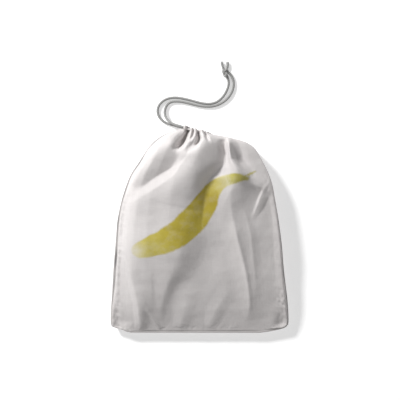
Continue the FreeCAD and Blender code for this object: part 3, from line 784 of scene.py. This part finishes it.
def frontGrid():
    # height = seam height + crown(up) * across(s) + folds + sag + puckers, kept above the channel's cord
    x, y, t, s = clothRows()
    away, nx, ny, place = outlineNear(x, y, s)
    inset = smoothCurve(place, cloth["inset"], 0.006) * np.exp(-((away / cloth["insetReach"]) ** 2))
    x, y = x - nx * inset, y - ny * inset
    edge = 1 - np.abs(s)
    upper = ease((t - 0.9) / 0.1)
    wall = 1 - (1 - np.clip(edge / 0.02, 0, 1)) ** 3
    across = smoothCurve(s[0], cloth["across"], 0.02)[None] * wall
    across = across * (1 - upper) + arch(s) * upper
    # near the bottom the crown follows the distance from the bottom edge, higher up the rows
    climb = y - cloth["foot"]
    part = climb / cloth["tall"] + (t - climb / cloth["tall"]) * ease((t - 0.12) / 0.3)
    crown = smoothCurve(part, cloth["crown"], 0.012)
    fade = ease(edge / np.where(s < 0, 0.09, 0.03)) * ease(climb / 16)
    mouth = ease((t - 0.93) / 0.05) * ease(edge / 0.03)
    z = cloth["seamHeight"] + crown * across + foldHeight(x, y) * np.maximum(fade, mouth)
    calm = 1 - ease((t - 0.93) / 0.05)
    sag = 0.45 * ripple(x, y * 0.6, 60, 3) + 0.10 * ripple(x, y, 20, 4) + 0.03 * ripple(x, y, 8, 5)
    z += calm * fade * sag
    # puckers along the seams, strong in some places and faint in others
    inner = edge * cloth["halfWidth"]
    sideNear = np.exp(-(((inner - 8) / 8) ** 2)) * ease(inner / 2.5)
    footNear = np.exp(-(((climb - 10) / 7) ** 2)) * ease(climb / 8)
    lower = 1 - 0.5 * ease((t - 0.45) / 0.2)
    patch = np.clip(np.where(s < 0, 0.75, 0.4) + 0.35 * ripple(x, y, 70, 12), 0.1, 1.4)
    z += calm * lower * patch * sideNear * (0.6 * ripple(x * 0.7, y, 15, 6) + 0.42 * ripple(x, y, 7, 8))
    z += calm * patch * footNear * (0.3 * ripple(x, y * 0.6, 16, 9) + 0.15 * ripple(x, y, 6, 10))
    z += cloth["part"][0] * ease((t - 0.975) / 0.025) * mouthLeft(s)
    overCord = ease((y - 149) / 4) * ease((15 - np.abs(x - 1.5)) / 4)
    z = np.maximum(z, cloth["cordTop"] * overCord)
    return x, y, z, t, s, away, place


def backGrid():
    # from the seam out to the outline, round and under: the target place inside the outline, and the
    # height, both by away / roll
    x, y, t, s = clothRows()
    away, nx, ny, place = outlineNear(x, y, s)
    inset = smoothCurve(place, cloth["inset"], 0.006)
    neck = ease((t - 0.90) / 0.1)
    turn = away / cloth["roll"]
    target = np.interp(turn, [0, 0.25, 0.5, 0.75, 1.0], [1, 0.45, 0, 0, 0]) * inset
    target = target + np.interp(turn, [0, 0.5, 0.75, 1.0], [0, 0, 3.0, cloth["roll"]])
    pull = inset * neck * np.exp(-((away / cloth["insetReach"]) ** 2))
    out = np.where(turn < 1, away - target, 0) * (1 - neck) - pull
    x, y = x + nx * out, y + ny * out
    rise = np.interp(turn, [0, 0.3, 0.5, 0.75, 1, 1.6, 2.6], [1, 1, 0.95, 0.4, 0.14, 0.05, 0])
    rise = rise * (1 - neck) + (np.abs(s) ** 2.2) * neck
    low = 0.35 + 0.75 * neck
    z = low + (cloth["seamHeight"] - low) * rise
    z += np.clip(0.35 * ripple(x, y, 45, 11), 0, 1) * (1 - np.abs(s)) * (1 - neck)
    z -= cloth["part"][1] * ease((t - 0.975) / 0.025) * mouthLeft(s)
    return x, y, np.maximum(z, 0.35), t, s, away, place


def buildPanel(side, node):
    # painted shade in the crease along the seam = crease table at the place * unevenness * exp(-(away /
    # width)^4)
    front = side == "front"
    x, y, z, t, s, away, place = frontGrid() if front else backGrid()
    uneven = np.clip(0.75 + 0.4 * ripple(x, y, 40, 31), 0.15, 1)
    crease = smoothCurve(place, cloth["crease"], 0.006) * uneven
    extra = {"seamShade": crease * np.exp(-((away / (1.6 if front else 3.2)) ** 4))}
    if front:
        edge, along = markDistance(x, y, printMark["line"])
        stalk, _ = markDistance(x, y, printMark["stalk"])
        extra |= {"printEdge": np.maximum(edge, stalk), "printAlong": along}
    piece = gridMesh(f"{side}_cloth", np.stack([x, y, z], axis=-1), not front, extra)
    thicken(piece, cloth["thickness"])
    piece.data.materials.append(cottonCloth(f"{side}Cotton", cloth["colour"], front))
    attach(piece, "bag")
    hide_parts(node)
    return piece, [a[-1] for a in (x, y, z, s)]


channel = {
    "rim": [(-25.5, 169.6), (20.3, 155.6)],
    "high": 17.0,  # the rim's middle over the seams, in front
    "deep": 10.6,  # and below them, at the back
    "belly": 0.9,  # how far the outside bulges round the cord
    "middle": -4.0,  # x that the inside narrows towards
    "lean": 0.31,  # how the mouth's line falls to the right
    "inside": (2.0, 10.0),  # y from the rim to the inside's first and last rows
}


def buildChannel(side, node, edge):
    # rows from the stitching out to the rim, over it, and back inside; the pleats run on from the panel
    x0, y0, z0, s = edge
    front = side == "front"
    sign = 1 if front else -1
    rimLeft, rimRight = np.array(channel["rim"])
    wide = (s + 1) / 2
    x1, y1 = [rimLeft[i] + (rimRight[i] - rimLeft[i]) * wide for i in range(2)]
    pleat = foldHeight(x1, y1)
    part = cloth["part"][0 if front else 1] * mouthLeft(s)
    if front:
        zRim = cloth["seamHeight"] + channel["high"] * arch(s) + part + pleat * ease((1 - np.abs(s)) / 0.05)
    else:
        zRim = np.maximum(cloth["seamHeight"] - channel["deep"] * arch(s) - part, 1.2)
    y1 = y1 + np.clip(pleat, -6, 4) * 0.22
    rows = []
    for k in np.linspace(0, 1, 9):
        z = z0 + (zRim - z0) * k + channel["belly"] * math.sin(math.pi * k) * sign
        if front:
            # the cloth cannot sink into the cord that it wraps
            floor = cloth["cordTop"] - 30 * (abs(k * 9 - 5) > 3.4)
            z = np.where(s < 0.5, np.maximum(z, floor), z)
        rows.append(np.stack([x0 + (x1 - x0) * k, y0 + (y1 - y0) * k, z], axis=-1))
    inX = channel["middle"] + (x1 - channel["middle"]) * 0.5
    inY = y1 - (inX - x1) * channel["lean"]
    inZ = cloth["seamHeight"] + sign * (0.8 + 3.2 * (1 - s * s)) + 0.25 * pleat * front
    first, last = channel["inside"]
    for k in np.linspace(0, 1, 8)[1:]:
        turn = ease(k)
        y = y1 + (inY - y1) * turn + 1.1 * math.sin(math.pi * k) - first * k
        rows.append(np.stack([x1 + (inX - x1) * turn, y, zRim + (inZ - zRim) * turn], axis=-1))
    for k in np.linspace(0, 1, 6)[1:]:
        rows.append(np.stack([inX, inY - first - (last - first) * k, inZ], axis=-1))
    piece = gridMesh(f"{side}_channel_hem_cloth", np.stack(rows), not front)
    thicken(piece, cloth["thickness"])
    piece.data.materials.append(cottonCloth(f"{side}HemCotton", cloth["colour"]))
    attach(piece, "bag")
    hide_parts(node)
    return piece, rows


thread = {
    "radius": 0.24,
    "step": 0.25,  # between the rings of a stitch
    "every": 12,  # rings from one stitch to the next
    "length": 8,  # rings in a stitch
    "colours": [(0.55, 0.54, 0.52), (0.74, 0.73, 0.71)],
}


def buildStitches(side, node, rows):
    # short lengths of thread along the channel's lower edge, each bent by sin a a little into the cloth
    front = side == "front"
    path, _ = evenly(rows[1] + [0, 0, 0.12 if front else -0.12], thread["step"])
    bend = (0.18 if front else -0.1) * np.sin(np.linspace(0, math.pi, thread["length"]))
    tubes = []
    for i in range(4, len(path) - thread["every"], thread["every"]):
        part = path[i:i + thread["length"]].copy()
        part[:, 2] = np.maximum(part[:, 2] + bend, 0.4)
        tubes.append((tube(part, thread["radius"], 6), False))
    piece = joinTubes(f"{side}_hem_thread", tubes)
    paint = Paint(f"{side}Thread")
    twist = (paint.attribute("along") * 3.0 + paint.attribute("around") * 3.0).math("SINE")
    tone = paint.mix(paint.step(twist, -0.6, 0.6), *thread["colours"])
    look = paint.finish(Base_Color=tone, Roughness=0.6, Normal=paint.bump(twist, 0.4, 0.0001))
    piece.data.materials.append(look)
    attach(piece, "bag")
    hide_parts(node)


allowance = {
    "start": 4.6,  # from the outline at the sides
    "wide": 11.0,
    "thick": 0.8,
    "ends": (-146.0, 0.9),  # lowest y and highest place of the side strips
    "bottom": (100.0, -165.0),  # half length and y of the bottom strip
    "rows": 7,
    "pale": 0.95,
}


def buildAllowances():
    # the seams' turned-in edges: strips inside each seam, whose free edge wanders from the overlocking
    left, right, t = outlineRows()
    across = np.linspace(0, 1, allowance["rows"])
    lowest, highest = allowance["ends"]
    for side, line, way in (("left", left, 1), ("right", right, -1)):
        x, y = line[(line[:, 1] > lowest) & (t < highest)].T
        wander, curl = ripple(y, x, 7, 21), ripple(y, x, 16, 22)
        strip = []
        for k in across:
            inwards = allowance["start"] + (allowance["wide"] * k + 0.5 * k * wander)
            strip.append(np.stack([x + way * inwards, y - 0.2, 10.6 + 0.3 * k * curl], axis=-1))
        finishAllowance(side, f"{side}_seam_allowance", np.stack(strip), side == "right")
    half, start = allowance["bottom"]
    x = np.linspace(-half, half, 130)
    wander, curl = ripple(x, x * 0, 7, 23), ripple(x, x * 0, 15, 24)
    strip = []
    for k in across:
        upwards = start + allowance["wide"] * k + 0.4 * k * wander
        strip.append(np.stack([x, upwards, 10.8 + 0.2 * k * curl], axis=-1))
    finishAllowance("bottom", "bottom_seam_allowance", np.stack(strip), True)


def finishAllowance(side, node, points, flip):
    # one strip, thickened and a little darker than the panels: colour * pale
    piece = thicken(gridMesh(f"{side}_allowance_cloth", points, flip), allowance["thick"])
    colour = tuple(c * allowance["pale"] for c in cloth["colour"])
    piece.data.materials.append(cottonCloth(f"{side}AllowanceCotton", colour))
    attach(piece, "bag")
    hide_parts(node)


buildStudio()
buildCord()
for side in ("front", "back"):
    panel, edge = buildPanel(side, f"{side}_panel")
    hem, rows = buildChannel(side, f"{side}_channel_hem", edge)
    buildStitches(side, f"{side}_channel_stitching", rows)
    print(side, "cloth done")
buildAllowances()
print("allowances done")
